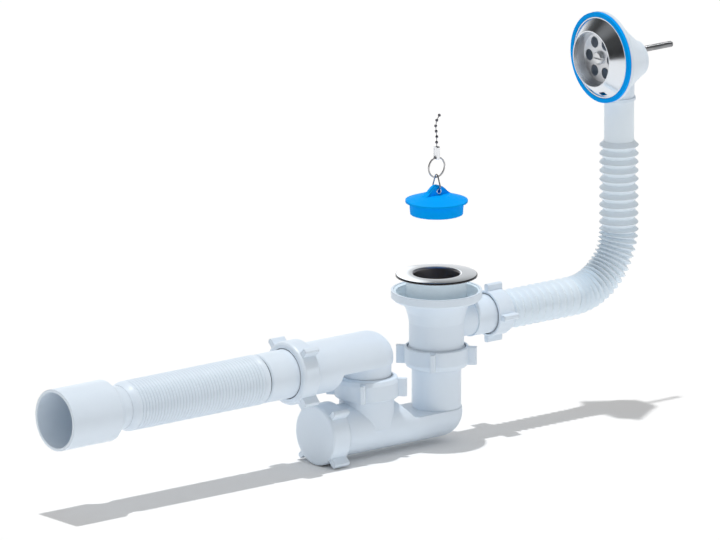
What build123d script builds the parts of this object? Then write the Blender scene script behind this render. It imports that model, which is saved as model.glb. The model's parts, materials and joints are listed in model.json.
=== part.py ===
from build123d import *
import os
from math import atan2, pi, sin, sqrt

# A bath trap with its overflow, in millimetres.
# The origin is the centre of the waste cup's rim, +Z is up and +X points to the overflow.
# The waste, the trap, the tail and the overflow all stand in the plane Y = 0.

# Pipes
pipe_r = 20.0               # riser, spigots and tail pipe, 40 mm outside
cuff_r = 25.0               # end for the sewer socket, 50 mm outside
wall = 2.2                  # moulded wall of pipes and bodies
slip = 0.2                  # radial room of a spigot in its socket
seat_gap = 0.1              # room between pieces that only touch

# Unions on the 40 mm pipe
socket_wall = 2.1
socket_depth = 6.5
thread_depth = 1.4
nut_room = 0.7              # radial room of a pipe in a nut's collar
thread_room = 0.3
thread_reach = 8.2          # length of thread behind a socket's mouth
nut_wall = 2.0
nut_length = 17.3
nut_collar = 3.5
nut_shoulder = 4.8
nut_brow = 0.6
seal_height = 4.0
seal_taper = 1.2
lug_reach = 6.7
lug_width = 4.6
lug_length = 15.0
lug_chamfer = 1.0
lug_sunk = 1.0
lug_count = 4
lug_turn = 45.0

# Waste
rim_r = 36.8
rim_lip = 1.9
rim_height = 7.8
cup_neck_r = 27.6
cup_neck_drop = 9.0
cup_flare_drop = 26.0
cup_flare_share = 0.36      # how far out the flare is at half its height
throat_r = 19.6
throat_drop = 8.6
gasket_thickness = 1.5
gasket_throat_r = 23.0
gasket_sleeve_r = 24.4      # sleeve through the bath's outlet, up to the dish
waste_union_drop = 63.8     # collar face of the waste nut below the rim
boss_r = 6.5
boss_drop = 9.0
boss_height = 13.0
boss_arms = 3
boss_arm_width = 2.6
boss_arm_height = 9.0

# Strainer dish
dish_lift = 13.2            # flange above the cup's rim, the room for the bath
dish_r = 33.2
dish_sheet = 1.0
dish_crown = 0.6            # mouth above the flange's edge
dish_roll = 1.6
dish_mouth_r = 22.6
dish_mouth_round = 4.0
dish_floor_r = 17.2
dish_depth = 17.0
drain_holes = 6
drain_hole_r = 4.0
drain_hole_ring = 11.6

# Screws and the nuts that they run in
screw_r = 2.1
screw_room = 0.15
head_r = 5.4
head_height = 3.2
head_round = 1.0
slot_width = 1.4
slot_depth = 1.6
insert_across = 8.0
insert_height = 4.0
strainer_screw_length = 34.0

# Overflow branch and hose
branch_drop = 28.3
branch_neck_r = 14.6
branch_collar_r = 15.8
branch_collar_x = 32.0
branch_end_x = 60.5
branch_bore_r = 11.2
branch_thread_depth = 0.9
branch_seal_height = 2.0
branch_lug_reach = 5.3
branch_nut_wall = 1.8
branch_nut_length = 17.0
branch_nut_collar = 3.0
branch_nut_shoulder = 3.0
hose_end_r = 12.2
hose_wall = 1.3
hose_flange_r = 15.4
hose_flange_height = 2.5
hose_crest_r = 16.0
hose_root_r = 12.6
hose_run_ribs = 10          # before the bend
hose_bend_ribs = 17         # round the bend, closer together
hose_rise_ribs = 10         # above the bend
hose_rib_pitch = 7.15
hose_rise = 72.8            # ribbed stretch above the bend
hose_sides = 18
hose_bend_r = 49.5
hose_cuff_height = 34.2
overflow_x = 190.1          # upright stretch of the hose

# Overflow head
overflow_rise = 165.9       # axis of the head above the rim
overflow_face_x = 170.7     # seat of the rosette on the gasket
bell_lip = 4.1              # bell's flange beyond the rosette
bell_step = 1.8             # bell's cone inside its flange
bell_flange_height = 3.0
bell_back_r = 16.5
bell_back_x = 204.5         # small end of the bell's cone
bell_back_drop = 6.3        # its centre below the head's axis
bell_back_round = 6.5
bell_boss_r = 6.0
bell_boss_height = 14.0
spout_r = 12.4
spout_bead_r = 13.4
spout_bead_height = 2.4
nipple_length = 22.0
overflow_gasket_rim = 3.85  # gasket beyond the rosette
overflow_gasket_hold = 4.3  # gasket under the rosette
overflow_gasket_back = 1.6
overflow_gasket_lip = 1.2
rosette_r = 33.3
rosette_sheet = 0.9
rosette_height = 10.0
rosette_rim_r = 23.35
rosette_floor_r = 20.0
rosette_holes = 6
rosette_hole_r = 4.6
rosette_hole_ring = 13.5
rosette_slot_length = 7.0
rosette_slot_width = 3.0
rosette_slot_turn = 15.0
overflow_screw_length = 75.0

# Trap
chamber_r = 21.0
chamber_drop = 100.8
channel_top = 4.0           # flat top of the channel above the chamber's axis
channel_slope_x = -38.0
channel_slope_run = 16.0
trap_span = 72.3            # between the axes of the two upright pipes
chamber_run = 48.3          # chamber beyond the outlet's axis
outlet_union_drop = 58.8    # collar face of the outlet nut below the rim
cap_r = 25.0
cap_wall = 2.0
cap_end = 3.0
cap_length = 17.4
cap_round = 2.0
cap_lug_reach = 7.0
cleanout_seal_height = 2.5

# Outlet elbow and tail
elbow_r = 21.5
elbow_drop = 44.6
elbow_flat = 4.2            # flat underside below the elbow's axis
elbow_step = 40.2           # flat underside beyond the outlet's axis
elbow_step_run = 4.0
elbow_run = 84.2            # from the outlet's axis to the collar face of the tail nut
elbow_thread_depth = 1.4
tail_nut_shoulder = 2.5
tail_nut_brow = 2.2
tail_length = 27.9          # tail pipe beyond the nut's collar face
tail_end_r = 18.6
tail_end_length = 7.0
tail_mouth_round = 1.2
neck_r = 15.6
neck_wall = 1.6
neck_length = 10.0
joint_gap = 0.8             # dark groove where two pieces of the tail meet
flex_r = 20.35
flex_rib_depth = 1.0
flex_round = 2.6
flex_ribs = 40
flex_rib_pitch = 3.12
flex_sides = 18
flex_near_band = 6.5        # plain bands beside the ribs
flex_far_band = 7.9
cuff_length = 50.0
cuff_shoulder = 16.0
cuff_narrow_r = 17.3
cuff_hollow = ((0.25, 0.53), (0.5, 0.2))   # shares of the shoulder's run and of its fall that is left
cuff_wall = 2.35

# Plug and its chain
plug_z = 63.2               # underside of the plug, lifted above the dish
plug_skirt_low_r = 21.35
plug_skirt_high_r = 22.1
plug_skirt_height = 9.8
plug_flange_r = 25.25
plug_flange_height = 1.4
plug_dome_height = 4.6
plug_hollow_r = 16.0
plug_hollow_height = 5.0
fin_width = 23.0
fin_thickness = 5.6
fin_height = 7.6
fin_top_r = 7.4
eye_r = 2.1
eye_margin = 2.4            # rubber above the eye
wire_r = 0.6
link_width = 11.0
link_height = 14.5          # to the point where the legs would cross
link_round = 1.8
ring_r = 8.7
ring_section = 1.1
clasp_width = 4.6
clasp_height = 10.8
clasp_depth = 3.0
clasp_strip = 0.8
clasp_corner = 1.2
bead_r = 1.25
bead_waist = 0.7            # share of the radius at a bead's ends
bead_sides = 8
bead_pitch = 4.6
bar_width = 0.6
bead_headings = (0, 2, -8, -6, 14, 34)   # lean of each step of the chain, in degrees

# Share of a rounding's run and rise at the middle of its quarter circle
ROUND_FAR = sqrt(0.5)
ROUND_NEAR = 1 - ROUND_FAR

# Worked out from the sizes above
outlet_x = -trap_span
chamber_end_x = outlet_x - chamber_run
elbow_step_x = outlet_x - elbow_step
tail_nut_x = outlet_x - elbow_run
socket_bore_r = pipe_r + slip
socket_r = socket_bore_r + socket_wall
thread_r = socket_r + thread_depth
nut_bore_r = thread_r + thread_room
nut_r = nut_bore_r + nut_wall
mouth_offset = nut_collar + seal_height
spigot_reach = mouth_offset + socket_depth - seat_gap
branch_thread_r = branch_collar_r + branch_thread_depth
branch_nut_bore_r = branch_thread_r + thread_room
branch_nut_r = branch_nut_bore_r + branch_nut_wall
hose_start_x = branch_end_x + branch_seal_height
branch_nut_end_x = hose_start_x + hose_flange_height + branch_nut_collar
hose_bore_r = hose_end_r - hose_wall
cap_bore_r = cap_r - cap_wall
cap_thread_r = cap_bore_r - thread_room
cap_face_x = chamber_end_x - cleanout_seal_height - cap_end
dish_floor_z = dish_lift - dish_depth
flex_length = flex_near_band + flex_ribs * flex_rib_pitch + flex_far_band
elbow_thread_r = elbow_r + elbow_thread_depth
tail_nut_bore_r = elbow_thread_r + thread_room
hose_run = overflow_x - hose_bend_r - branch_nut_end_x
hose_turn = pi / 2 * hose_bend_r
hose_rib_length = hose_run + hose_turn + hose_rise
hose_top_z = hose_rise + hose_bend_r - branch_drop
spout_z = hose_top_z + hose_cuff_height
bell_flange_r = rosette_r + bell_lip
bell_shoulder_r = bell_flange_r - bell_step
overflow_gasket_r = rosette_r + overflow_gasket_rim
overflow_gasket_bore_r = rosette_r - overflow_gasket_hold
boss_front = bell_back_x + bell_back_round - overflow_face_x - bell_boss_height

# Frames of the unions: the origin is the nut's collar face, local Z runs to the nut's open end
waste_union = Plane((0, 0, -waste_union_drop), x_dir=(1, 0, 0), z_dir=(0, 0, 1))
outlet_union = Plane((outlet_x, 0, -outlet_union_drop), x_dir=(1, 0, 0), z_dir=(0, 0, -1))
tail_union = Plane((tail_nut_x, 0, -elbow_drop), x_dir=(0, 1, 0), z_dir=(1, 0, 0))
tail_line = Plane((tail_nut_x, 0, -elbow_drop), x_dir=(0, 1, 0), z_dir=(-1, 0, 0))
branch_line = Plane((branch_nut_end_x, 0, -branch_drop), x_dir=(0, 1, 0), z_dir=(-1, 0, 0))
cap_line = Plane((cap_face_x, 0, -chamber_drop), x_dir=(0, 1, 0), z_dir=(1, 0, 0))
head_line = Plane((overflow_face_x, 0, overflow_rise), x_dir=(0, 1, 0), z_dir=(1, 0, 0))


def turned(*lines):
    """Solid turned about Z from lines that close an outline of (radius, height)."""
    outline = Curve() + list(lines)
    return revolve(Plane.XZ * make_face(outline), Axis.Z)


def spun(*points):
    """Solid turned about Z from the corners of an outline of (radius, height)."""
    return turned(Polyline(*points, close=True))


def corner(start, end):
    """Points of a rounded corner in two chords, from where it leaves one line to where it meets the next.

    The rounding leaves along the first coordinate and arrives along the second."""
    middle = (start[0] + (end[0] - start[0]) * ROUND_FAR, start[1] + (end[1] - start[1]) * ROUND_NEAR)
    return start, middle, end


def ring(outer_r, inner_r, low, high):
    return spun((inner_r, low), (outer_r, low), (outer_r, high), (inner_r, high))


def rod(radius, low, high):
    return spun((0, low), (radius, low), (radius, high), (0, high))


def along_x(x, z):
    """Frame at a point of the plane Y = 0 whose local Z is +X."""
    return Plane((x, 0, z), x_dir=(0, 1, 0), z_dir=(1, 0, 0))


def around(count, start=0.0):
    """Turns about Z that share out a full circle."""
    return [Rot(0, 0, start + 360 * step / count) for step in range(count)]


def lugs(from_r, reach, low, length, start):
    """Grip lugs that stand out from a round wall."""
    inner = from_r - lug_sunk
    outer = from_r + reach
    half = lug_width / 2
    cut = lug_chamfer
    corners = Polyline((inner, -half), (outer - cut, -half), (outer, cut - half), (outer, half - cut),
                       (outer - cut, half), (inner, half), close=True)
    lug = extrude(Pos(0, 0, low) * make_face(corners), length)
    return [turn * lug for turn in around(lug_count, start)]


def union_nut(bore_r, neck_bore_r, outer_r, length, collar, shoulder, brow):
    """Nut with its collar face at Z = 0, rounded there, and its open end up with a bevel."""
    return spun((neck_bore_r, 0), *corner((outer_r - shoulder, 0), (outer_r, shoulder)),
                (outer_r, length - brow), (outer_r - brow, length), (bore_r, length), (bore_r, collar),
                (neck_bore_r, collar))


def pipe_nut(bore_r=nut_bore_r, shoulder=nut_shoulder, brow=nut_brow):
    """Union nut for a 40 mm pipe, with its grip lugs."""
    nut = union_nut(bore_r, pipe_r + nut_room, nut_r, nut_length, nut_collar, shoulder, brow)
    return nut + lugs(nut_r, lug_reach, nut_length - lug_length, lug_length - brow / 2, lug_turn)


def cone_seal(bore_r=nut_bore_r, mouth_r=socket_r):
    """Rubber ring between a nut's collar and the mouth of a socket."""
    low = nut_collar + seat_gap
    high = mouth_offset - seat_gap
    inner = pipe_r + seat_gap
    outer = bore_r - seat_gap
    return spun((inner, low), (outer, low), (outer, low + seal_taper), (mouth_r, high), (inner, high))


def threaded_socket():
    """Outside of the socket that a union nut runs on, with its mouth at its real place."""
    thread_end = mouth_offset + thread_reach
    return spun((0, mouth_offset), (thread_r, mouth_offset), (thread_r, thread_end),
                (socket_r, thread_end + thread_depth), (socket_r, nut_length), (0, nut_length))


def socket_bore():
    return rod(socket_bore_r, mouth_offset, mouth_offset + socket_depth)


def slotted_screw(length):
    """Screw that hangs down from its head, with the underside of the head at Z = 0."""
    head = spun((0, 0), (head_r, 0), (head_r, head_height - head_round), (head_r - head_round, head_height),
                (0, head_height))
    slot = Pos(0, 0, head_height) * Box(2 * head_r, slot_width, 2 * slot_depth)
    return head - slot + rod(screw_r, -length, 0)


def insert_nut():
    """Hexagonal nut that a screw runs in, with its underside at Z = 0."""
    across_r = insert_across / 2
    hexagon = RegularPolygon(across_r, 6, major_radius=False)
    return extrude(hexagon, insert_height) - rod(screw_r + screw_room, 0, insert_height)


def insert_pocket():
    hexagon = RegularPolygon(insert_across / 2 + seat_gap, 6, major_radius=False)
    return extrude(hexagon, insert_height + seat_gap)


# Waste


def waste_body():
    bottom = -waste_union_drop + mouth_offset
    flare_r = socket_r + (cup_neck_r - socket_r) * cup_flare_share
    flare_z = -(cup_neck_drop + cup_flare_drop) / 2
    shell = spun((0, bottom), (socket_r, bottom), (socket_r, -cup_flare_drop), (flare_r, flare_z),
                 (cup_neck_r, -cup_neck_drop), (rim_r - rim_lip, -rim_height),
                 (rim_r, -rim_height + rim_lip), (rim_r, 0), (0, 0))
    branch_frame = along_x(0, -branch_drop)
    branch = rod(branch_neck_r, 0, branch_end_x) + rod(branch_collar_r, branch_collar_x, branch_end_x)
    branch += rod(branch_thread_r, branch_end_x - thread_reach, branch_end_x)
    cup = spun((0, 0), (rim_r - rim_lip, 0), (rim_r - rim_lip, -rim_lip), (throat_r, -throat_drop),
               (0, -throat_drop))
    throat = rod(throat_r, bottom, -throat_drop)
    branch_bore = rod(branch_bore_r, 0, branch_end_x)
    body = shell + waste_union * threaded_socket() + branch_frame * branch
    body -= cup + throat + waste_union * socket_bore() + branch_frame * branch_bore
    return body + spider()


def spider():
    """Boss in the throat, on its arms, with a pocket for the nut below."""
    low = -boss_drop - boss_height
    boss = rod(boss_r, low, -boss_drop) - Pos(0, 0, low) * insert_pocket()
    arm_length = throat_r + socket_wall / 2 - boss_r + lug_sunk
    arm_x = boss_r - lug_sunk + arm_length / 2
    arm = Pos(arm_x, 0, -boss_drop - boss_arm_height / 2) * Box(arm_length, boss_arm_width, boss_arm_height)
    hole = rod(screw_r + screw_room, low, -boss_drop)
    return boss + [turn * arm for turn in around(boss_arms, 180 / boss_arms)] - hole


def waste_gasket():
    """Cone washer in the cup with a sleeve that rises through the bath's outlet to the dish."""
    rise = throat_drop - rim_lip
    run = rim_r - rim_lip - throat_r
    seat = -throat_drop + rise * (gasket_throat_r - throat_r) / run + seat_gap
    outer = rim_r - rim_lip - seat_gap
    edge = -rim_lip + seat_gap
    foot = seat + gasket_thickness + rise * (gasket_sleeve_r - gasket_throat_r) / run
    top = dish_lift + dish_crown - dish_sheet - 2 * seat_gap
    return spun((gasket_throat_r, seat), (outer, edge), (outer, edge + gasket_thickness),
                (gasket_sleeve_r, foot), (gasket_sleeve_r, top), (gasket_throat_r, top))


def strainer_dish():
    """Pressed dish whose flange lies on the bath and whose bowl drains through its floor."""
    mouth_z = dish_lift + dish_crown
    round_z = mouth_z - dish_mouth_round
    bowl_r = dish_mouth_r - dish_mouth_round
    under_r = dish_mouth_round - dish_sheet
    edge_r = dish_r - dish_sheet
    low = dish_floor_z - dish_sheet
    dish = spun(
        (0, dish_floor_z), (dish_floor_r, dish_floor_z),
        *reversed(corner((dish_mouth_r, mouth_z), (bowl_r, round_z))),
        (edge_r, dish_lift), (dish_r, dish_lift - dish_sheet), (dish_r, dish_lift - dish_roll),
        (edge_r, dish_lift - dish_roll), (edge_r, dish_lift - dish_sheet),
        *corner((dish_mouth_r, mouth_z - dish_sheet), (dish_mouth_r - under_r, round_z)),
        (dish_floor_r + dish_sheet, low), (0, low),
    )
    hole = Pos(drain_hole_ring, 0, 0) * rod(drain_hole_r, low, dish_floor_z)
    dish -= [turn * hole for turn in around(drain_holes)]
    return dish - rod(screw_r + screw_room, low, dish_floor_z)


def strainer_screw():
    return Pos(0, 0, dish_floor_z) * slotted_screw(strainer_screw_length)


def waste_insert_nut():
    return Pos(0, 0, -boss_drop - boss_height) * insert_nut()


# Trap


def channel_cut(drop):
    """Room above the flat channel between the two upright pipes, lowered by a wall."""
    flat = channel_top - chamber_drop - drop
    top = chamber_r - chamber_drop - drop
    start = channel_slope_x - drop / 2
    far = chamber_r + wall
    corners = Polyline((start, flat), (far, flat), (far, top + drop + wall),
                       (start - channel_slope_run, top + drop + wall), (start - channel_slope_run, top),
                       close=True)
    return extrude(Plane.XZ * make_face(corners), 2 * chamber_r, both=True)


def trap_body():
    axis_z = -chamber_drop
    chamber_frame = along_x(chamber_end_x, axis_z)
    length = -chamber_end_x
    bore_r = chamber_r - wall
    pipe_bore_r = pipe_r - wall
    riser_top = -waste_union_drop + spigot_reach
    ball = Pos(0, 0, axis_z)

    solid = chamber_frame * rod(chamber_r, 0, length) + ball * Sphere(chamber_r)
    solid -= channel_cut(0)
    solid += chamber_frame * rod(cap_thread_r, 0, cap_length - cap_end)
    solid += rod(pipe_r, axis_z, riser_top)
    solid += Pos(outlet_x, 0, 0) * rod(socket_r, axis_z, -outlet_union_drop - nut_length)
    solid += outlet_union * threaded_socket()

    room = chamber_frame * rod(bore_r, 0, length) + ball * Sphere(bore_r)
    room -= channel_cut(wall)
    room += rod(pipe_bore_r, axis_z, riser_top)
    room += Pos(outlet_x, 0, 0) * rod(pipe_bore_r, axis_z, -outlet_union_drop - mouth_offset)
    room += outlet_union * socket_bore()
    return solid - room


def cleanout_cap():
    """Cap with its face at Z = 0 and its skirt up."""
    body = spun((0, 0), *corner((cap_r - cap_round, 0), (cap_r, cap_round)), (cap_r, cap_length),
                (cap_bore_r, cap_length), (cap_bore_r, cap_end), (0, cap_end))
    return body + lugs(cap_r, cap_lug_reach, cap_length - lug_length, lug_length, lug_turn)


def cleanout_seal():
    return ring(cap_bore_r - seat_gap, chamber_r - wall, cap_end, cap_end + cleanout_seal_height)


# Outlet elbow and tail


def elbow_cut(rise):
    """Room below the flat underside of the elbow, raised by a wall."""
    flat = -elbow_drop - elbow_flat + rise
    low = -elbow_drop - elbow_r - wall
    far = outlet_x + elbow_r + wall
    step = elbow_step_x - rise
    corners = Polyline((step - elbow_step_run, low), (far, low), (far, flat), (step, flat), close=True)
    return extrude(Plane.XZ * make_face(corners), 2 * elbow_r, both=True)


def outlet_elbow():
    """Elbow with a spigot down into the trap and a threaded socket for the tail pipe."""
    axis_z = -elbow_drop
    mouth_x = tail_nut_x + mouth_offset
    run = outlet_x - mouth_x
    frame = along_x(mouth_x, axis_z)
    ball = Pos(outlet_x, 0, axis_z)
    drop = Pos(outlet_x, 0, 0)
    bore_r = elbow_r - wall
    pipe_bore_r = pipe_r - wall
    foot = -outlet_union_drop - spigot_reach

    solid = frame * rod(elbow_r, 0, run) + ball * Sphere(elbow_r) - elbow_cut(0)
    solid += drop * rod(pipe_r, foot, axis_z)
    solid += frame * rod(elbow_thread_r, 0, thread_reach)
    room = frame * rod(bore_r, socket_depth, run) + ball * Sphere(bore_r) - elbow_cut(wall)
    room += drop * rod(pipe_bore_r, foot, axis_z)
    room += frame * rod(socket_bore_r, 0, socket_depth)
    return solid - room


def tail_pipe():
    """Pipe that enters the elbow's socket and holds the flexible tube in its narrowed end."""
    bore_r = pipe_r - wall
    end = tail_length
    mouth_r = neck_r + seat_gap
    inner_end = end - neck_length
    return spun(
        (bore_r, -spigot_reach), (pipe_r, -spigot_reach), (pipe_r, end - tail_end_length),
        (tail_end_r + tail_mouth_round, end - tail_mouth_round), (tail_end_r, end), (mouth_r, end),
        (mouth_r, inner_end), (bore_r, inner_end - wall),
    )


def flex_tube():
    """Finely ribbed tube with plain bands beside its ribs and a thin neck at both ends."""
    start = tail_length + joint_gap
    ribs_from = start + flex_near_band
    ribs_to = ribs_from + flex_ribs * flex_rib_pitch
    end = start + flex_length
    half = flex_rib_pitch / 2
    root_r = flex_r - flex_rib_depth
    neck_bore_r = neck_r - neck_wall
    bore_r = root_r - neck_wall - flex_rib_depth
    sections = []
    for step in range(2 * flex_ribs + 1):
        radius = flex_r if step % 2 else root_r
        sections.append(Pos(0, 0, ribs_from + step * half) * RegularPolygon(radius, flex_sides))
    tube = loft(sections, ruled=True)
    tube += spun((0, start - neck_length), (neck_r, start - neck_length), (neck_r, start),
                 *corner((flex_r - flex_round, start), (flex_r, start + flex_round)),
                 (flex_r, ribs_from - half), (root_r, ribs_from), (0, ribs_from))
    tube += spun((0, ribs_to), (root_r, ribs_to), (flex_r, ribs_to + half),
                 *reversed(corner((neck_r, end), (flex_r, end - flex_r + neck_r))),
                 (neck_r, end + neck_length), (0, end + neck_length))
    return tube - spun(
        (0, start - neck_length), (neck_bore_r, start - neck_length), (neck_bore_r, start + neck_wall),
        (bore_r, start + 2 * neck_wall), (bore_r, end - 2 * neck_wall), (neck_bore_r, end - neck_wall),
        (neck_bore_r, end + neck_length), (0, end + neck_length),
    )


def sewer_cuff():
    """Cuff for the sewer socket, drawn in at its near end to hold the flexible tube's neck."""
    start = tail_length + flex_length + 2 * joint_gap
    straight = start + cuff_shoulder
    end = straight + cuff_length
    bore_r = cuff_r - cuff_wall
    mouth_r = neck_r + seat_gap
    fall = cuff_r - cuff_narrow_r
    hollow = [(cuff_narrow_r + fall * left, straight - cuff_shoulder * run) for run, left in cuff_hollow]
    return spun((mouth_r, start), (cuff_narrow_r, start), *reversed(hollow), (cuff_r, straight),
                (cuff_r, end), (bore_r, end), (bore_r, straight), (mouth_r, start + neck_length))


# Overflow


def branch_nut():
    nut = union_nut(branch_nut_bore_r, hose_end_r + nut_room, branch_nut_r, branch_nut_length,
                    branch_nut_collar, branch_nut_shoulder, nut_brow)
    grip = branch_nut_length - branch_nut_shoulder / 2
    return nut + lugs(branch_nut_r, branch_lug_reach, branch_nut_length - grip, grip - nut_brow, 0)


def branch_seal():
    low = branch_nut_collar + hose_flange_height
    return ring(branch_collar_r, branch_bore_r, low, low + branch_seal_height)


def hose_station(distance):
    """Frame across the hose's line, a distance after the start of its ribs."""
    side = (0, 1, 0)
    if distance <= hose_run:
        point = Vector(branch_nut_end_x + distance, 0, -branch_drop)
        return Plane(point, x_dir=side, z_dir=(1, 0, 0))
    if distance >= hose_run + hose_turn:
        rise = distance - hose_run - hose_turn + hose_bend_r
        return Plane(Vector(overflow_x, 0, rise - branch_drop), x_dir=side, z_dir=(0, 0, 1))
    turn = (distance - hose_run) / hose_turn * 90
    centre = Vector(overflow_x - hose_bend_r, 0, hose_bend_r - branch_drop)
    swing = Vector(0, 0, -hose_bend_r).rotate(Axis.Y, -turn)
    heading = Vector(1, 0, 0).rotate(Axis.Y, -turn)
    return Plane(centre + swing, x_dir=side, z_dir=heading)


def hose_grooves():
    """Distances of the grooves between the hose's ribs, from the first rib's foot to the last one's."""
    rise_start = hose_rib_length - hose_rise_ribs * hose_rib_pitch
    run_pitch = hose_run / hose_run_ribs
    bend_pitch = (rise_start - hose_run) / hose_bend_ribs
    grooves = [step * run_pitch for step in range(hose_run_ribs)]
    grooves += [hose_run + step * bend_pitch for step in range(hose_bend_ribs)]
    return grooves + [rise_start + step * hose_rib_pitch for step in range(hose_rise_ribs + 1)]


def overflow_hose():
    """Bellows bent through a quarter turn, with a flange at its lower end and a cuff at its upper end."""
    grooves = hose_grooves()
    sections = [hose_station(grooves[0]) * RegularPolygon(hose_root_r, hose_sides)]
    for before, after in zip(grooves, grooves[1:]):
        sections.append(hose_station((before + after) / 2) * RegularPolygon(hose_crest_r, hose_sides))
        sections.append(hose_station(after) * RegularPolygon(hose_root_r, hose_sides))
    bellows = loft(sections, ruled=True)
    end_length = hose_flange_height + branch_nut_collar
    lower = rod(hose_end_r, -end_length, 0) + rod(hose_flange_r, -end_length, -branch_nut_collar)
    upper = rod(hose_end_r, 0, hose_cuff_height)
    bend_start = (overflow_x - hose_bend_r, 0, -branch_drop)
    bend_end = (overflow_x, 0, hose_bend_r - branch_drop)
    line = Line((hose_start_x, 0, -branch_drop), bend_start)
    line += TangentArc(bend_start, bend_end, tangent=(1, 0, 0))
    line += Line(bend_end, (overflow_x, 0, spout_z))
    bore = sweep(along_x(hose_start_x, -branch_drop) * Circle(hose_bore_r), path=line)
    return bellows + hose_station(0) * lower + hose_station(hose_rib_length) * upper - bore


def bell(thickness, front):
    """Cone from the head's flange to a rounded back that sits lower, drawn in by a thickness."""
    shoulder_r = bell_shoulder_r - thickness
    back_r = bell_back_r - thickness
    back_round = bell_back_round - thickness
    back_frame = along_x(bell_back_x, overflow_rise - bell_back_drop)
    cone = loft([along_x(front, overflow_rise) * Circle(shoulder_r), back_frame * Circle(back_r)], ruled=True)
    back = spun((0, 0), *reversed(corner((back_r - back_round, back_round), (back_r, 0))), (0, back_round))
    return cone + back_frame * back


def overflow_body():
    """Bell with a spout down to the hose and a boss at its back for the screw's nut."""
    front = overflow_gasket_back
    flange_x = overflow_face_x + front + bell_flange_height
    boss = rod(bell_boss_r, boss_front, boss_front + bell_boss_height)
    drill = rod(screw_r + screw_room, boss_front, boss_front + bell_boss_height)
    drill += Pos(0, 0, boss_front) * insert_pocket()
    nipple_r = hose_bore_r - seat_gap
    nipple_low = spout_z - nipple_length
    spout = rod(spout_r, spout_z, overflow_rise)
    spout += rod(spout_bead_r, spout_z, spout_z + spout_bead_height)
    spout += rod(nipple_r, nipple_low, spout_z)
    spout_bore = rod(nipple_r - hose_wall, nipple_low, overflow_rise)
    column = Pos(overflow_x, 0, 0)

    solid = bell(0, flange_x) + column * spout
    solid += head_line * rod(bell_flange_r, front, front + bell_flange_height)
    room = bell(wall, flange_x) + column * spout_bore
    room += head_line * rod(bell_shoulder_r - wall, front, front + bell_flange_height)
    return solid - room + head_line * boss - head_line * drill


def overflow_gasket():
    back = overflow_gasket_back
    recess_r = rosette_r + slip
    return spun((overflow_gasket_bore_r, 0), (recess_r, 0), (recess_r, -overflow_gasket_lip),
                (overflow_gasket_r, -overflow_gasket_lip), (overflow_gasket_r, back),
                (overflow_gasket_bore_r, back))


def overflow_rosette():
    """Cone that stands out to a rim and falls back inside it to a floor with holes."""
    sheet = rosette_sheet
    rim = -rosette_height
    cone = spun(
        (0, -sheet), (rosette_floor_r, -sheet), (rosette_rim_r - sheet, rim), (rosette_rim_r, rim),
        (rosette_r - sheet, -sheet), (rosette_r, -sheet), (rosette_r, 0), (rosette_r - 2 * sheet, 0),
        (rosette_rim_r - sheet / 2, rim + sheet), (rosette_floor_r + sheet, 0), (0, 0),
    )
    hole = Pos(rosette_hole_ring, 0, 0) * rod(rosette_hole_r, -sheet, 0)
    cone -= [turn * hole for turn in around(rosette_holes)]
    cone -= rod(screw_r + screw_room, -sheet, 0)
    middle_r = (rosette_r + rosette_rim_r) / 2 + sheet
    cutter = Pos(middle_r, 0, rim / 2) * Box(rosette_slot_width, rosette_slot_length, rosette_height)
    return cone - [Rot(0, 0, -90 + turn) * cutter for turn in (-rosette_slot_turn, rosette_slot_turn)]


def overflow_screw():
    return Pos(0, 0, -rosette_sheet) * Rot(180, 0, 0) * slotted_screw(overflow_screw_length)


def overflow_insert_nut():
    return Pos(0, 0, boss_front) * insert_nut()


# Plug


def plug():
    skirt = plug_skirt_height
    flange = skirt + plug_flange_height
    top = flange + plug_dome_height
    side = fin_width / 2
    body = spun(
        (0, plug_hollow_height), (plug_hollow_r, plug_hollow_height), (plug_hollow_r, 0),
        (plug_skirt_low_r, 0), (plug_skirt_high_r, skirt), (plug_flange_r, skirt), (plug_flange_r, flange),
        (side, top), (0, top),
    )
    crest = CenterArc((0, top + fin_height - fin_top_r), fin_top_r, 0, 360)
    outline = make_hull((Curve() + [crest, Line((-side, flange), (side, flange))]).edges())
    fin = extrude(Plane.XZ * outline, fin_thickness / 2, both=True)
    eye = Plane.XZ * Pos(0, top + fin_height - eye_margin - eye_r) * Circle(eye_r)
    return body + fin - extrude(eye, fin_thickness, both=True)


fin_top_z = plug_z + plug_skirt_height + plug_flange_height + plug_dome_height + fin_height
link_bar_z = fin_top_z - eye_margin - wire_r - seat_gap
link_half_angle = atan2(link_width / 2, link_height)
link_top_z = link_bar_z + link_height - link_round * (1 / sin(link_half_angle) - 1)
link_inner_r = link_round - wire_r
ring_bore_r = ring_r - ring_section
ring_seat_z = link_top_z - link_round + sqrt(link_inner_r ** 2 - (ring_section / 2) ** 2) - seat_gap
ring_z = ring_seat_z + ring_bore_r
clasp_z = ring_z + sqrt(ring_bore_r ** 2 - (clasp_depth / 2) ** 2) - seat_gap - clasp_strip
chain_z = clasp_z + clasp_height


def plug_link():
    """Wire bent to a triangle through the plug's eye, with its point up."""
    half = link_width / 2
    corners = [(-half, link_bar_z), (half, link_bar_z), (0, link_bar_z + link_height)]
    path = Plane.YZ * FilletPolyline(*corners, radius=link_round, close=True)
    section = Plane(path @ 0, z_dir=path % 0) * RegularPolygon(wire_r, 6)
    return sweep(section, path=path)


def pull_ring():
    low = -ring_section / 2
    return Pos(0, 0, ring_z) * Rot(90, 0, 0) * ring(ring_r, ring_bore_r, low, -low)


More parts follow.
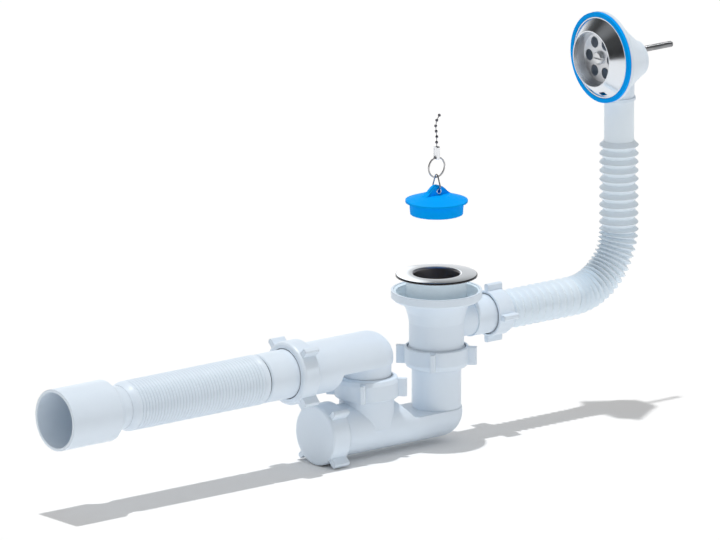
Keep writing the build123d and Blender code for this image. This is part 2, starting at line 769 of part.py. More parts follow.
def chain_clasp():
    """Strip folded to a loop through the ring, with a hole at its top for the chain."""
    frame = RectangleRounded(clasp_width, clasp_height, clasp_corner)
    inner_corner = clasp_corner - clasp_strip
    frame -= RectangleRounded(clasp_width - 2 * clasp_strip, clasp_height - 2 * clasp_strip, inner_corner)
    loop = extrude(Plane.YZ * Pos(0, clasp_z + clasp_height / 2) * frame, clasp_depth / 2, both=True)
    return loop - Pos(0, 0, chain_z) * Box(2 * bar_width, 2 * bar_width, 4 * clasp_strip)


def ball_chain():
    """Beads, each with the short bar below it that joins it to the piece before."""
    waist = RegularPolygon(bead_r * bead_waist, bead_sides)
    belly = RegularPolygon(bead_r, bead_sides)
    bead = loft([Pos(0, 0, -bead_r) * waist, belly, Pos(0, 0, bead_r) * waist], ruled=True)
    bar_length = bead_pitch - 2 * bead_r - seat_gap
    bar = Pos(0, 0, -bead_r - bar_length / 2) * Box(bar_width, bar_width, bar_length)
    pieces = []
    place = Vector(0, 0, chain_z - bead_r)
    for heading in bead_headings:
        step = Location((0, 0, 0), (0, heading, 0))
        place += (step * Pos(0, 0, bead_pitch)).position
        pieces.append(Pos(place) * step * (bead + bar))
    return pieces


PARTS = {
    "strainer_dish": strainer_dish,
    "strainer_screw": strainer_screw,
    "waste_gasket": waste_gasket,
    "waste_body": waste_body,
    "waste_insert_nut": waste_insert_nut,
    "waste_nut": lambda: waste_union * pipe_nut(),
    "waste_cone_seal": lambda: waste_union * cone_seal(),
    "trap_body": trap_body,
    "cleanout_cap": lambda: cap_line * cleanout_cap(),
    "cleanout_seal": lambda: cap_line * cleanout_seal(),
    "outlet_nut": lambda: outlet_union * pipe_nut(),
    "outlet_cone_seal": lambda: outlet_union * cone_seal(),
    "outlet_elbow": outlet_elbow,
    "tail_nut": lambda: tail_union * pipe_nut(tail_nut_bore_r, tail_nut_shoulder, tail_nut_brow),
    "tail_cone_seal": lambda: tail_union * cone_seal(tail_nut_bore_r, elbow_r),
    "tail_pipe": lambda: tail_line * tail_pipe(),
    "flex_tube": lambda: tail_line * flex_tube(),
    "sewer_cuff": lambda: tail_line * sewer_cuff(),
    "branch_nut": lambda: branch_line * branch_nut(),
    "branch_seal": lambda: branch_line * branch_seal(),
    "overflow_hose": overflow_hose,
    "overflow_body": overflow_body,
    "overflow_gasket": lambda: head_line * overflow_gasket(),
    "overflow_rosette": lambda: head_line * overflow_rosette(),
    "overflow_screw": lambda: head_line * overflow_screw(),
    "overflow_insert_nut": lambda: head_line * overflow_insert_nut(),
    "plug": lambda: Pos(0, 0, plug_z) * plug(),
    "plug_link": plug_link,
    "pull_ring": pull_ring,
    "chain_clasp": chain_clasp,
    "ball_chain": ball_chain,
}

os.makedirs("parts", exist_ok=True)
for name, make in PARTS.items():
    shape = make()
    solids = shape if isinstance(shape, list) else [shape]
    group = Compound(children=[Solid(solid.wrapped) for piece in solids for solid in piece.solids()])
    export_step(group, f"parts/{name}.step")
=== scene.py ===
"""Looks of a bath trap with its strainer waste, overflow, flexible tail and plug on a chain."""
import json
import math

import bpy
from mathutils import Matrix, Vector


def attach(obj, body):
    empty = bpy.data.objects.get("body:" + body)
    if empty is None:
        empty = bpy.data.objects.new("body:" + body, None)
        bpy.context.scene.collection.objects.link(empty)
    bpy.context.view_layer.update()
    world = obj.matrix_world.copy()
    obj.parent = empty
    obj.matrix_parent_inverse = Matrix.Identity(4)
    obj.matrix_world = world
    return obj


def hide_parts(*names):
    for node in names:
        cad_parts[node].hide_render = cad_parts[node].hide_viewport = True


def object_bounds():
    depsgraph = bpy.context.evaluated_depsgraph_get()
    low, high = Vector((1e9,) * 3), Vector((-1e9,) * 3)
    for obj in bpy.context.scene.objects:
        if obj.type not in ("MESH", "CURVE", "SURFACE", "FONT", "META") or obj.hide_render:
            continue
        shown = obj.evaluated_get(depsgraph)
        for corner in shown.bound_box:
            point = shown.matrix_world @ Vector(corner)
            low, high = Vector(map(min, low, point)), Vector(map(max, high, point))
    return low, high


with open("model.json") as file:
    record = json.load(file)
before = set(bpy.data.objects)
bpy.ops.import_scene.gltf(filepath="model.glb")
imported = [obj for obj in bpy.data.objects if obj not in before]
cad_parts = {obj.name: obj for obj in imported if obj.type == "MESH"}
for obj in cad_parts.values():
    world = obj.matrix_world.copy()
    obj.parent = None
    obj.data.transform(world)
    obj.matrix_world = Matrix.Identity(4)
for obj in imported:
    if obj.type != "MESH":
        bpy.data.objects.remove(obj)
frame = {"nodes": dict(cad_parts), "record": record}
cad_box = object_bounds()
scene = bpy.context.scene
scene.view_settings.view_transform = "Standard"

EAST = Vector((1.0, 0.0, 0.0))
NORTH = Vector((0.0, 1.0, 0.0))
UP = Vector((0.0, 0.0, 1.0))

# Camera: a long lens, so that upright and level lines stay nearly parallel
AIM = Vector((-0.07914, 0.0, 0.02884))
AZIMUTH = math.radians(-38.842)
ELEVATION = math.radians(14.421)
VIEW_WIDTH = 0.57845
LENS_MM = 1200.0
SENSOR_MM = 36.0
CLIP_END = 200.0

# Lights and floor
SUN_STRENGTH = 1.75
SUN_SOFTNESS = math.radians(1.5)
SUN_LEAN = (math.radians(-3.1), math.radians(0.6), 0.0)
SKY_STRENGTH = 0.5
SKY_TINT = (1.0, 0.99, 0.98, 1.0)
WHITE = (1.0, 1.0, 1.0, 1.0)
FLOOR_ALBEDO = (0.965, 0.965, 0.965, 1.0)
FLOOR_ROUGHNESS = 0.9
FLOOR_SIZE = 8.0

# Dark ceiling with one bright panel, which only reflections see; its stops are (sine of height, level)
CEILING_R = 3.5
CEILING_LOW = math.radians(1.5)
CEILING_RINGS = 12
CEILING_SIDES = 48
CEILING_CROWN = 0.5
CEILING_PALE_STOPS = ((0.08, 0.80), (0.27, 0.62), (0.52, 0.10), (0.76, 0.04), (0.92, 0.35))
CEILING_DARK_STOPS = ((0.02, 0.04), (0.25, 0.02), (0.60, 0.06), (0.76, 0.04), (0.92, 0.35))
DARK_TOWARDS = Vector((-0.88, -0.47, 0.0))
DARK_EDGE = (0.2, 0.7)
PANEL_TOWARDS = Vector((0.453, 0.853, 0.26)).normalized()
PANEL_EDGE = (math.cos(math.radians(18.0)), math.cos(math.radians(12.0)))
PANEL_ASIDE = Vector((-0.783, 0.622, 0.0))
PANEL_SIDE = (-0.03, 0.04)
PANEL_STRENGTH = 1.3

# Colours, linear
PLASTIC_PALE = (0.775, 0.87, 0.965, 1.0)
PLASTIC_DEEP = (0.755, 0.85, 0.95, 1.0)
BELLOWS_PALE = (0.83, 0.925, 1.0, 1.0)
BELLOWS_DEEP = (0.81, 0.905, 0.985, 1.0)
BLUE_PALE = (0.0, 0.385, 1.0, 1.0)
BLUE_DEEP = (0.0, 0.365, 1.0, 1.0)
SEAL_PALE = (0.82, 0.89, 0.95, 1.0)
SEAL_DEEP = (0.80, 0.87, 0.935, 1.0)
GASKET_PALE = (0.82, 0.93, 1.0, 1.0)
GASKET_DEEP = (0.80, 0.91, 0.985, 1.0)
CHROME_PALE = (0.86, 0.88, 0.91, 1.0)
CHROME_DEEP = (0.80, 0.82, 0.85, 1.0)
# Painted shade for the dish's bowl and a painted dark reflection for its rolled edge
BOWL_PAINTED_SHADE = (0.40, 0.38, 0.395, 1.0)
BOWL_RIM_PAINTED_REFLECTION = (0.07, 0.07, 0.075, 1.0)
BOWL_PALE = (0.90, 0.95, 1.0, 1.0)
CUP_GREY = (0.78, 0.80, 0.83, 1.0)
CONE_PALE = (0.75, 0.785, 0.83, 1.0)
STEEL_PALE = (0.46, 0.46, 0.47, 1.0)
STEEL_DEEP = (0.32, 0.32, 0.33, 1.0)
SCREW_PALE = (0.74, 0.76, 0.78, 1.0)
SCREW_DEEP = (0.64, 0.66, 0.68, 1.0)
THREAD_PALE = (0.34, 0.345, 0.355, 1.0)
THREAD_DEEP = (0.26, 0.265, 0.275, 1.0)
BEAD_PALE = (0.20, 0.20, 0.23, 1.0)
BEAD_DEEP = (0.12, 0.12, 0.14, 1.0)
BRASS_PALE = (0.72, 0.50, 0.20, 1.0)
BRASS_DEEP = (0.60, 0.40, 0.15, 1.0)

# Finishes: where colours change, in shares of a ramp or metres from an axis, and where painted shade
# darkens joints and grooves
DRIFT = (0.35, 0.65)
# Bands of the dish by distance from its axis: painted shade in the bowl, bright chrome, then a painted dark
# reflection at the edge
BOWL_BANDS = ((0.581, BOWL_PAINTED_SHADE), (0.600, BOWL_PALE), (0.968, BOWL_PALE), (0.984, BOWL_RIM_PAINTED_REFLECTION))
BOWL_EDGE = (0.0190, 0.0206)
BOWL_POLISH = (0.42, 0.06)
CUP_EDGE = (0.0196, 0.0224)
CUP_POLISH = (0.48, 0.19)
GRAIN_DEPTH = 0.0001
BEVEL_SAMPLES = 6
# Painted shade where surfaces lie close together: its samples, reach, darkest level and where it starts
CREVICE_SHADE_SAMPLES = 8
CREVICE_SHADE_REACH = 0.003
CREVICE_SHADE_DARKEST = 0.3
CREVICE_SHADE_SHUT = 0.05

# Dish; the sizes from here on are in metres and repeat the model's own places
DISH_Z = 0.0132
DISH_R = 0.0332
DISH_SHEET = 0.001
DISH_CROWN = 0.0006
DISH_ROLL = 0.0016
DISH_MOUTH_R = 0.0206
DISH_MOUTH_ROUND = 0.002
DISH_FLOOR_R = 0.0172
DISH_FLOOR_Z = -0.0038
DISH_FLOOR_ROUND = 0.0005
DISH_LAP = 0.0002
DISH_SIDES = 128
DRAIN_HOLES = 6
DRAIN_RING = 0.0116
DRAIN_HOLE_R = 0.004
DISH_SCREW_HOLE_R = 0.00225
HOLE_SIDES = 24
HOLE_SIDES_PER_METRE = 4000

# Bellows hose; its ribs are pointed as their sharpness nears 1
BRANCH_Z = -0.0283
HOSE_START_X = 0.068
HOSE_X = 0.1901
HOSE_BEND_R = 0.0495
HOSE_CREST_R = 0.016
HOSE_ROOT_R = 0.0126
HOSE_RUN_RIBS = 10
HOSE_BEND_RIBS = 17
HOSE_RISE_RIBS = 10
HOSE_PITCH = 0.00715
HOSE_RISE = 0.0728
HOSE_END_R = 0.0122
HOSE_BORE_R = 0.0109
HOSE_FLANGE_R = 0.0154
HOSE_FLANGE = (-0.0055, -0.003)
HOSE_CUFF = 0.0342
HOSE_RIB_SHARPNESS = 0.96
HOSE_RIB_STEPS = 10
HOSE_BORE_STEPS = 48
HOSE_SIDES = 72

# Ribbed tube of the tail
TAIL_Z = -0.0446
TAIL_START_X = -0.1852
FLEX_R = 0.02035
FLEX_ROOT_R = 0.01935
FLEX_RIBS = 40
FLEX_PITCH = 0.00312
FLEX_NEAR = 0.0065
FLEX_FAR = 0.0079
FLEX_ROUND = 0.0026
FLEX_WAIST_R = 0.01755
FLEX_LIP = 0.0010
FLEX_LIP_R = 0.01742
FLEX_NECK_R = 0.0156
FLEX_NECK = 0.010
FLEX_WALL = 0.0016
FLEX_RIB_SHARPNESS = 0.6
FLEX_RIB_FULLNESS = 0.6
FLEX_RIB_STEPS = 8
FLEX_ROUND_STEPS = 6
FLEX_SHOULDER_STEPS = 12
FLEX_SIDES = 96

# Link, ring and chain; the ring's wire crosses from its first turn to its second at RING_CROSSING
LINK_LOW_Z = 0.08412
LINK_WIDTH = 0.011
LINK_HEIGHT = 0.0145
LINK_ROUND = 0.0018
LINK_STEPS = 8
WIRE_R = 0.0006
WIRE_SIDES = 12
RING_Z = 0.10149
RING_MIDDLE_R = 0.00815
RING_HALF = 0.00055
RING_FILL = 0.96
RING_TURNS = 2
RING_STEPS = 96
RING_CROSSING = (0.9, 1.1)
RING_SECTION = ((-1.0, -0.6), (-0.6, -1.0), (0.6, -1.0), (1.0, -0.6),
                (1.0, 0.6), (0.6, 1.0), (-0.6, 1.0), (-1.0, 0.6))
CHAIN_Z = 0.11884
BEAD_R = 0.00125
BEAD_TIP_R = 0.000075
BEAD_PITCH = 0.0046
BEAD_LEANS = (0, 2, -8, -6, 14, 34)
BEAD_STEPS = 12
BEAD_SIDES = 20
BAR_R = 0.0003
BAR_SINK = 0.9
BAR_SIDES = 10

# Plug's fin, its eyelets and the overflow screw's thread
FIN_FLANK = ((0.0140, 0.0778), (0.0112, 0.0796), (0.0093, 0.0810), (0.0079, 0.0823), (0.0066, 0.0835),
             (0.0056, 0.0842), (0.0030, 0.0830), (0.0030, 0.0770))
FIN_HALF = 0.0027
EYE_Z = 0.0821
EYELET_R = 0.0020
EYELET_HALF = 0.0005
EYELET_STEPS = 32
EYELET_SIDES = 10
HEAD_Z = 0.1659
THREAD_X = (0.2075, 0.2444)
THREAD_R = (0.00226, 0.00250)
THREAD_PITCH = 0.0008
THREAD_SHARPNESS = 0.8
THREAD_STEPS = 6
THREAD_SIDES = 24


class Nodes:
    """Shorthand for adding nodes to a tree."""

    def __init__(self, tree):
        self.tree = tree

    def node(self, kind):
        return self.tree.nodes.new(kind)

    def link(self, source, target):
        self.tree.links.new(source, target)

    def fed(self, kind, operation, values):
        """A node of one operation whose inputs are other nodes' outputs or fixed values."""
        node = self.node(kind)
        node.operation = operation
        for socket, value in zip(node.inputs, values):
            if isinstance(value, bpy.types.NodeSocket):
                self.link(value, socket)
            else:
                socket.default_value = value
        return node

    def number(self, operation, *values):
        """Number that is worked out from numbers."""
        return self.fed("ShaderNodeMath", operation, values).outputs["Value"]

    def vector(self, operation, *values):
        """Vector that is worked out from vectors."""
        return self.fed("ShaderNodeVectorMath", operation, values).outputs["Vector"]

    def measure(self, operation, *values):
        """Number that is worked out from vectors, such as a length."""
        return self.fed("ShaderNodeVectorMath", operation, values).outputs["Value"]

    def ramp(self, factor, stops):
        """Colour from a ramp of (place, colour) stops."""
        ramp = self.node("ShaderNodeValToRGB")
        while len(ramp.color_ramp.elements) < len(stops):
            ramp.color_ramp.elements.new(0.5)
        for element, (place, colour) in zip(ramp.color_ramp.elements, stops):
            element.position = place
            element.color = colour
        self.link(factor, ramp.inputs["Fac"])
        return ramp.outputs["Color"]

    def spread(self, value, start, end, low=0.0, high=1.0, smooth=False):
        """Value that goes from low to high while another goes from start to end."""
        spread = self.node("ShaderNodeMapRange")
        if smooth:
            spread.interpolation_type = "SMOOTHSTEP"
        spread.inputs["From Min"].default_value = start
        spread.inputs["From Max"].default_value = end
        spread.inputs["To Min"].default_value = low
        spread.inputs["To Max"].default_value = high
        self.link(value, spread.inputs["Value"])
        return spread.outputs["Result"]


class Material(Nodes):
    """A material with one Principled shader and object coordinates in metres."""

    def __init__(self, name):
        self.material = bpy.data.materials.new(name)
        self.material.use_nodes = True
        super().__init__(self.material.node_tree)
        self.shader = self.tree.nodes["Principled BSDF"]
        self.coords = self.node("ShaderNodeTexCoord").outputs["Object"]

    def noise(self, scale, detail=3.0):
        """Noise whose cells are about one metre divided by the scale."""
        noise = self.node("ShaderNodeTexNoise")
        noise.inputs["Scale"].default_value = scale
        noise.inputs["Detail"].default_value = detail
        self.link(self.coords, noise.inputs["Vector"])
        return noise.outputs["Fac"]

    def reach(self, centre, axes):
        """Distance from a line through a centre, where the line's own axis counts 0 and the others 1."""
        offset = self.vector("SUBTRACT", self.coords, centre)
        return self.measure("LENGTH", self.vector("MULTIPLY", offset, axes))

    def bands(self, factor, stops):
        """Base colour from a ramp of (place, colour) stops."""
        self.link(self.ramp(factor, stops), self.shader.inputs["Base Color"])

    def colour(self, factor, deep, pale):
        """Base colour that drifts between two shades."""
        self.bands(factor, tuple(zip(DRIFT, (deep, pale))))

    def roughness(self, factor, low, high, start=0.0, end=1.0):
        """Roughness that goes from low to high while a factor goes from start to end."""
        self.link(self.spread(factor, start, end, low, high), self.shader.inputs["Roughness"])

    def bump(self, height, strength, edge):
        """Fine relief over edges that are rounded off by a small radius."""
        bevel = self.node("ShaderNodeBevel")
        bevel.samples = BEVEL_SAMPLES
        bevel.inputs["Radius"].default_value = edge
        bump = self.node("ShaderNodeBump")
        self.link(bevel.outputs["Normal"], bump.inputs["Normal"])
        bump.inputs["Strength"].default_value = strength
        bump.inputs["Distance"].default_value = GRAIN_DEPTH
        self.link(height, bump.inputs["Height"])
        self.link(bump.outputs["Normal"], self.shader.inputs["Normal"])

    def painted_crevice_shade(self, unshaded_from):
        """Painted shade: darkens the colour where another surface is near, as in joints and grooves where
        shade falls.
        """
        near = self.node("ShaderNodeAmbientOcclusion")
        near.samples = CREVICE_SHADE_SAMPLES
        near.inputs["Distance"].default_value = CREVICE_SHADE_REACH
        shade = self.spread(near.outputs["AO"], CREVICE_SHADE_SHUT, unshaded_from, CREVICE_SHADE_DARKEST, 1.0)
        target = self.shader.inputs["Base Color"]
        self.link(self.vector("MULTIPLY", target.links[0].from_socket, shade), target)

    def set(self, **values):
        """Fixed values of the shader's own sockets."""
        for name, value in values.items():
            self.shader.inputs[name.replace("_", " ")].default_value = value


def plastic(name, deep, pale, edge, unshaded_from):
    """Cool white moulding: even, with a faint cloud in its colour, a very fine grain and painted shade in
    its joints.
    """
    mat = Material(name)
    mat.colour(mat.noise(scale=22.0), deep, pale)
    mat.painted_crevice_shade(unshaded_from)
    mat.roughness(mat.noise(scale=140.0), low=0.34, high=0.46)
    mat.bump(mat.noise(scale=2600.0, detail=2.0), strength=0.06, edge=edge)
    mat.set(IOR=1.46)
    return mat.material


def rubber(name, deep, pale, low, high):
    """Dull rubber with a faint cloud in its colour and a fine grain."""
    mat = Material(name)
    mat.colour(mat.noise(scale=60.0), deep, pale)
    mat.roughness(mat.noise(scale=300.0), low, high)
    mat.bump(mat.noise(scale=3200.0, detail=2.0), strength=0.10, edge=0.0008)
    mat.set(Specular_IOR_Level=0.02)
    return mat.material


def metal(name, deep, pale, low, high):
    """Metal whose shade and polish drift a little."""
    mat = Material(name)
    mat.colour(mat.noise(scale=90.0), deep, pale)
    mat.roughness(mat.noise(scale=420.0), low, high)
    mat.bump(mat.noise(scale=1800.0), strength=0.02, edge=0.0004)
    mat.set(Metallic=1.0)
    return mat.material


def bowl_chrome():
    """Chrome of the dish, with painted shade down in its bowl and a painted dark reflection round its edge.
    """
    mat = Material("bowl_chrome")
    reach = mat.reach((0.0, 0.0, 0.0), (1.0, 1.0, 0.0))
    mat.bands(mat.spread(reach, 0.0, DISH_R), BOWL_BANDS)
    mat.roughness(reach, *BOWL_POLISH, *BOWL_EDGE)
    mat.bump(mat.noise(scale=1800.0), strength=0.02, edge=0.0003)
    mat.set(Metallic=1.0)
    return mat.material


def cup_chrome():
    """Chrome of the rosette, bright on its cone and satin in its cup."""
    mat = Material("cup_chrome")
    reach = mat.reach((0.0, 0.0, HEAD_Z), (0.0, 1.0, 1.0))
    mat.colour(mat.spread(reach, *CUP_EDGE), CUP_GREY, CONE_PALE)
    mat.roughness(reach, *CUP_POLISH, *CUP_EDGE)
    mat.bump(mat.noise(scale=1800.0), strength=0.02, edge=0.0004)
    mat.set(Metallic=1.0)
    return mat.material


MATERIALS = {
    "white_plastic": plastic("white_plastic", PLASTIC_DEEP, PLASTIC_PALE, edge=0.0009, unshaded_from=0.45),
    "blue_rubber": rubber("blue_rubber", BLUE_DEEP, BLUE_PALE, low=0.42, high=0.55),
    "seal_rubber": rubber("seal_rubber", SEAL_DEEP, SEAL_PALE, low=0.45, high=0.60),
    "chrome": metal("chrome", CHROME_DEEP, CHROME_PALE, low=0.17, high=0.25),
    "steel": metal("steel", STEEL_DEEP, STEEL_PALE, low=0.10, high=0.18),
    "brass": metal("brass", BRASS_DEEP, BRASS_PALE, low=0.22, high=0.36),
}
RIBBED_PLASTIC = plastic("ribbed_plastic", PLASTIC_DEEP, PLASTIC_PALE, edge=0.00015, unshaded_from=0.8)
BELLOWS_PLASTIC = plastic("bellows_plastic", BELLOWS_DEEP, BELLOWS_PALE, edge=0.0006, unshaded_from=0.15)
BRIGHT_STEEL = metal("bright_steel", CHROME_DEEP, CHROME_PALE, low=0.18, high=0.28)
SCREW_STEEL = metal("screw_steel", SCREW_DEEP, SCREW_PALE, low=0.26, high=0.36)
THREAD_STEEL = metal("thread_steel", THREAD_DEEP, THREAD_PALE, low=0.26, high=0.36)
BEAD_STEEL = metal("bead_steel", BEAD_DEEP, BEAD_PALE, low=0.14, high=0.24)
BOWL_CHROME = bowl_chrome()
OWN_MATERIALS = {
    "overflow_rosette": cup_chrome(),
    "chain_clasp": BRIGHT_STEEL,
    "overflow_screw": SCREW_STEEL,
    "waste_gasket": rubber("pale_seal", GASKET_DEEP, GASKET_PALE, low=0.45, high=0.60),
}


def dress(node, material):
    """Gives a solid of the model one material all over."""
    slots = frame["nodes"][node].data.materials
    slots.clear()
    slots.append(material)


for subpart in frame["record"]["subparts"]:
    dress(subpart["node"], OWN_MATERIALS.get(subpart["node"], MATERIALS[subpart["material_slot"]]))


def add_piece(name, points, faces, slot, node=None, sharp=40.0, material=None):
    """Mesh piece in a slot's or its own material, which rides on the body and may stand for a solid."""
    mesh = bpy.data.meshes.new(name)
    mesh.from_pydata(points, [], faces)
    mesh.polygons.foreach_set("use_smooth", [True] * len(mesh.polygons))
    mesh.set_sharp_from_angle(angle=math.radians(sharp))
    mesh.materials.append(material or MATERIALS[slot])
    piece = bpy.data.objects.new(name, mesh)
    scene.collection.objects.link(piece)
    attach(piece, "root")
    if node:
        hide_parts(node)


def swept(rings, closed):
    """Points and faces of a skin through rings of as many points each, closed to a loop or capped."""
    count = len(rings[0])
    points = [point for ring in rings for point in ring]
    faces = []
    for row in range(len(rings) if closed else len(rings) - 1):
        here = row * count
        there = (row + 1) % len(rings) * count
        for side in range(count):
            turn = (side + 1) % count
            faces.append((here + side, here + turn, there + turn, there + side))
    if not closed:
        faces.append(tuple(reversed(range(count))))
        faces.append(tuple(range(len(points) - count, len(points))))
    return points, faces


def joined(skins):
    """Points and faces of several skins as one."""
    points = []
    faces = []
    for more, skin in skins:
        shift = len(points)
        points += more
        faces += [tuple(shift + index for index in face) for face in skin]
    return points, faces


def turns(count):
    """Angles of as many even steps round a full turn."""
    return [2 * math.pi * step / count for step in range(count)]


def circle(centre, across, upward, radius, sides):
    """Points round a centre in the plane of two directions."""
    return [centre + radius * (math.cos(turn) * across + math.sin(turn) * upward) for turn in turns(sides)]


def arc(centre, radius, start, end, steps):
    """Points (radius, height) of an arc in a turned profile, with its angles in degrees."""
    places = []
    for step in range(steps + 1):
        turn = math.radians(start + (end - start) * step / steps)
        places.append((centre[0] + radius * math.cos(turn), centre[1] + radius * math.sin(turn)))
    return places


def pierced_plate(radius, holes, low, high):
    """Points and faces of a round plate about the upright axis with round holes (x, y, radius)."""
    data = bpy.data.curves.new("plate", "CURVE")
    data.dimensions = "2D"
    data.fill_mode = "BOTH"
    data.extrude = (high - low) / 2
    for x, y, hole_r in [(0.0, 0.0, radius)] + holes:
        sides = max(HOLE_SIDES, round(hole_r * HOLE_SIDES_PER_METRE))
        spline = data.splines.new("POLY")
        spline.points.add(sides - 1)
        spline.use_cyclic_u = True
        for point, turn in zip(spline.points, turns(sides)):
            point.co = (x + hole_r * math.cos(turn), y + hole_r * math.sin(turn), 0.0, 1.0)
    outline = bpy.data.objects.new("plate", data)
    mesh = bpy.data.meshes.new_from_object(outline)
    points = [vertex.co + UP * ((low + high) / 2) for vertex in mesh.vertices]
    faces = [tuple(polygon.vertices) for polygon in mesh.polygons]
    bpy.data.objects.remove(outline)
    bpy.data.curves.remove(data)
    bpy.data.meshes.remove(mesh)
    return points, faces


def rib(phase, sharpness):
    """Height of a rib between 0 and 1 over one turn of its phase, with a rounded top and groove."""
    wave = math.asin(sharpness * math.sin(2 * math.pi * (phase - 0.25))) / math.asin(sharpness)
    return (wave + 1) / 2


def hose_place(distance):
    """Point of the hose's middle line and the direction across it, a distance after the first rib."""
    run = HOSE_X - HOSE_BEND_R - HOSE_START_X
    bend = math.pi / 2 * HOSE_BEND_R
    angle = min(max((distance - run) / HOSE_BEND_R, 0.0), math.pi / 2)
    across = Vector((-math.sin(angle), 0.0, math.cos(angle)))
    along = Vector((math.cos(angle), 0.0, math.sin(angle)))
    centre = Vector((HOSE_X - HOSE_BEND_R, 0.0, BRANCH_Z + HOSE_BEND_R))
    straight = min(distance - run, 0.0) + max(distance - run - bend, 0.0)
    return centre - HOSE_BEND_R * across + straight * along, across


def hose_grooves():
    """Distances of the grooves between the hose's ribs, closer together round the bend."""
    run = HOSE_X - HOSE_BEND_R - HOSE_START_X
    rise_start = run + math.pi / 2 * HOSE_BEND_R + HOSE_RISE - HOSE_RISE_RIBS * HOSE_PITCH
    grooves = [run * step / HOSE_RUN_RIBS for step in range(HOSE_RUN_RIBS)]
    grooves += [run + (rise_start - run) * step / HOSE_BEND_RIBS for step in range(HOSE_BEND_RIBS)]
    return grooves + [rise_start + step * HOSE_PITCH for step in range(HOSE_RISE_RIBS + 1)]


def add_dish():
    """Pressed dish with a round mouth, a rolled edge and a pierced floor."""
    mouth = (DISH_MOUTH_R, DISH_Z + DISH_CROWN - DISH_MOUTH_ROUND)
    low = DISH_FLOOR_Z - DISH_SHEET
    edge_r = DISH_R - DISH_SHEET
    seam_r = DISH_FLOOR_R - 2 * DISH_FLOOR_ROUND
    foot = (DISH_FLOOR_R - DISH_FLOOR_ROUND, DISH_FLOOR_Z + DISH_FLOOR_ROUND)
    profile = [(seam_r, DISH_FLOOR_Z)]
    profile += arc(foot, DISH_FLOOR_ROUND, start=-90, end=0, steps=5)
    profile += arc(mouth, DISH_MOUTH_ROUND, start=180, end=90, steps=18)
    profile += arc((edge_r, DISH_Z - DISH_SHEET), DISH_SHEET, start=85, end=0, steps=6)
    profile += [(DISH_R, DISH_Z - DISH_ROLL), (edge_r, DISH_Z - DISH_ROLL), (edge_r, DISH_Z - DISH_SHEET)]
    profile += arc(mouth, DISH_MOUTH_ROUND - DISH_SHEET, start=90, end=180, steps=10)
    profile += [(DISH_FLOOR_R + DISH_SHEET, low), (seam_r, low)]
    rings = [circle(UP * z, EAST, NORTH, radius, DISH_SIDES) for radius, z in profile]
    holes = [(DRAIN_RING * math.cos(turn), DRAIN_RING * math.sin(turn), DRAIN_HOLE_R)
             for turn in turns(DRAIN_HOLES)]
    holes.append((0.0, 0.0, DISH_SCREW_HOLE_R))
    plate = pierced_plate(seam_r + DISH_LAP, holes, low, DISH_FLOOR_Z)
    points, faces = joined([swept(rings, True), plate])
    add_piece("dish_pressing", points, faces, "chrome", "strainer_dish", material=BOWL_CHROME)


def add_hose():
    """Bellows with softly rounded ribs between the flange in the branch nut and the cuff on the spout."""
    grooves = hose_grooves()
    ribs_end = grooves[-1]
    top = ribs_end + HOSE_CUFF
    foot, flange_end = HOSE_FLANGE
    profile = [(foot, HOSE_BORE_R), (foot, HOSE_FLANGE_R), (flange_end, HOSE_FLANGE_R),
               (flange_end, HOSE_END_R), (0.0, HOSE_END_R)]
    for before, after in zip(grooves, grooves[1:]):
        for step in range(HOSE_RIB_STEPS):
            share = step / HOSE_RIB_STEPS
            height = rib(share, HOSE_RIB_SHARPNESS)
            radius = HOSE_ROOT_R + (HOSE_CREST_R - HOSE_ROOT_R) * height
            profile.append((before + (after - before) * share, radius))
    profile += [(ribs_end, HOSE_ROOT_R), (ribs_end, HOSE_END_R), (top, HOSE_END_R), (top, HOSE_BORE_R)]
    for step in range(1, HOSE_BORE_STEPS):
        profile.append((top + (foot - top) * step / HOSE_BORE_STEPS, HOSE_BORE_R))
    rings = []
    for distance, radius in profile:
        centre, across = hose_place(distance)
        rings.append(circle(centre, across, NORTH, radius, HOSE_SIDES))
    points, faces = swept(rings, True)
    add_piece("overflow_bellows", points, faces, "white_plastic", "overflow_hose", material=BELLOWS_PLASTIC)


